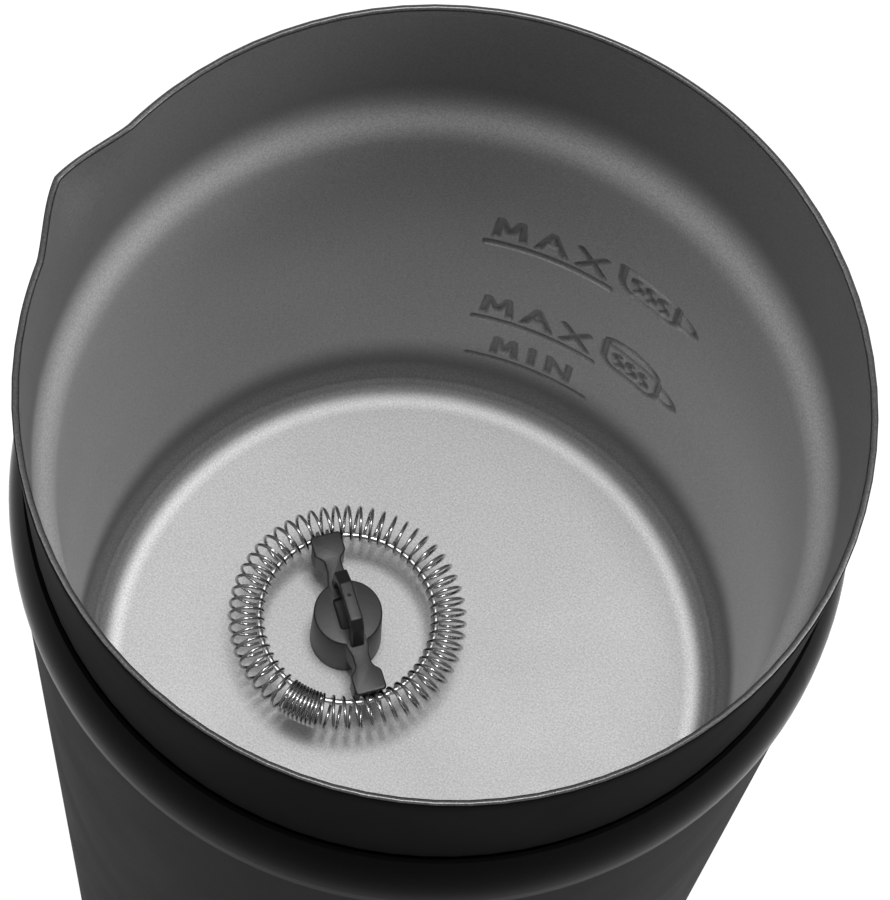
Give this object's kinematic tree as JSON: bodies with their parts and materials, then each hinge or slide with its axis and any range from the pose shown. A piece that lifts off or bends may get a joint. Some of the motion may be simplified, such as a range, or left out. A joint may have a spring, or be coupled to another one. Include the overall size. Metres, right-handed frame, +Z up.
{
  "type": "milk frother",
  "caption": "Cordless upright milk frother: coated cup with pinched spout, glossy trim ring, matte casing, start button and a lift-out magnetic whisk with a coil ring.",
  "frame": {"origin": "on the table plane, at the middle of the round body", "axes": "+Z up the body; -X towards the spout; -Y towards the start button"},
  "size_m": [0.0964, 0.0956, 0.19],
  "materials": {
    "cup_coating": "semi-gloss non-stick coating with fine speckle",
    "trim_gloss": "polished",
    "casing_matte": "fine matte",
    "base_plastic": "matte",
    "foot_rubber": "matte",
    "silicone": "matte",
    "screw_steel": "zinc plated",
    "socket_plastic": "matte",
    "contact_brass": "tinned",
    "chassis_plastic": "matte",
    "heater_aluminium": "cast",
    "lead_insulation": "satin",
    "part_black": "satin",
    "motor_steel": "plated",
    "magnet_plating": "nickel plated",
    "board_resin": "solder mask",
    "light_lens": "translucent",
    "button_plastic": "satin",
    "whisk_plastic": "satin",
    "whisk_steel": "drawn wire"
  },
  "bodies": {
    "frother_body": {"milk_cup": "cup_coating", "trim_ring": "trim_gloss", "cup_gasket": "silicone", "body_shell": "casing_matte", "base_cover": "base_plastic", "foot_ring": "foot_rubber", "base_screws": "screw_steel", "socket_housing": "socket_plastic", "socket_pin": "contact_brass", "socket_contacts": "contact_brass", "chassis": "chassis_plastic", "cup_studs": "screw_steel", "chassis_nuts": "screw_steel", "heater_plate": "heater_aluminium", "heating_element": "heater_aluminium", "heater_terminals": "screw_steel", "heater_leads": "lead_insulation", "thermostat": "part_black", "temperature_sensor": "heater_aluminium", "thermal_fuse": "screw_steel", "motor_can": "motor_steel", "motor_end_cap": "part_black", "motor_terminals": "contact_brass", "motor_leads": "lead_insulation", "motor_screws": "screw_steel", "control_board": "board_resin", "board_screws": "screw_steel", "relay": "part_black", "control_chip": "part_black", "lead_block": "chassis_plastic", "capacitor": "part_black", "light_ring": "light_lens", "tact_switch": "part_black", "button_board": "board_resin", "button_board_screws": "screw_steel", "status_leds": "light_lens", "button_ribbon": "lead_insulation"},
    "drive_rotor": {"motor_shaft": "screw_steel", "magnet_carrier": "chassis_plastic", "drive_magnets": "magnet_plating"},
    "whisk_core": {"whisk_magnet": "magnet_plating"},
    "whisk": {"whisk_holder": "whisk_plastic", "hub_cap": "whisk_plastic", "whisk_hoop": "whisk_steel", "whisk_coil": "whisk_steel"},
    "button": {"start_button": "button_plastic", "switch_plunger": "part_black"}
  },
  "joints": [
    {"name": "drive_spin", "type": "hinge", "parent": "frother_body", "child": "drive_rotor", "pos_m": [-0.0087, 0, 0.085], "axis": [0, 0, 1], "continuous": true},
    {"name": "whisk_lift", "type": "slide", "parent": "frother_body", "child": "whisk_core", "axis": [0, 0, 1], "range_m": [0, 0.11]},
    {"name": "whisk_spin", "type": "hinge", "parent": "whisk_core", "child": "whisk", "pos_m": [-0.0087, 0, 0.1], "axis": [0, 0, 1], "continuous": true},
    {"name": "button_press", "type": "slide", "parent": "frother_body", "child": "button", "axis": [0, 1, 0], "range_m": [0, 0.001], "stiffness_N_per_m": 1500}
  ],
  "couplings": [
    {"joint": "whisk_spin", "follows": "drive_spin", "ratio": 1}
  ]
}
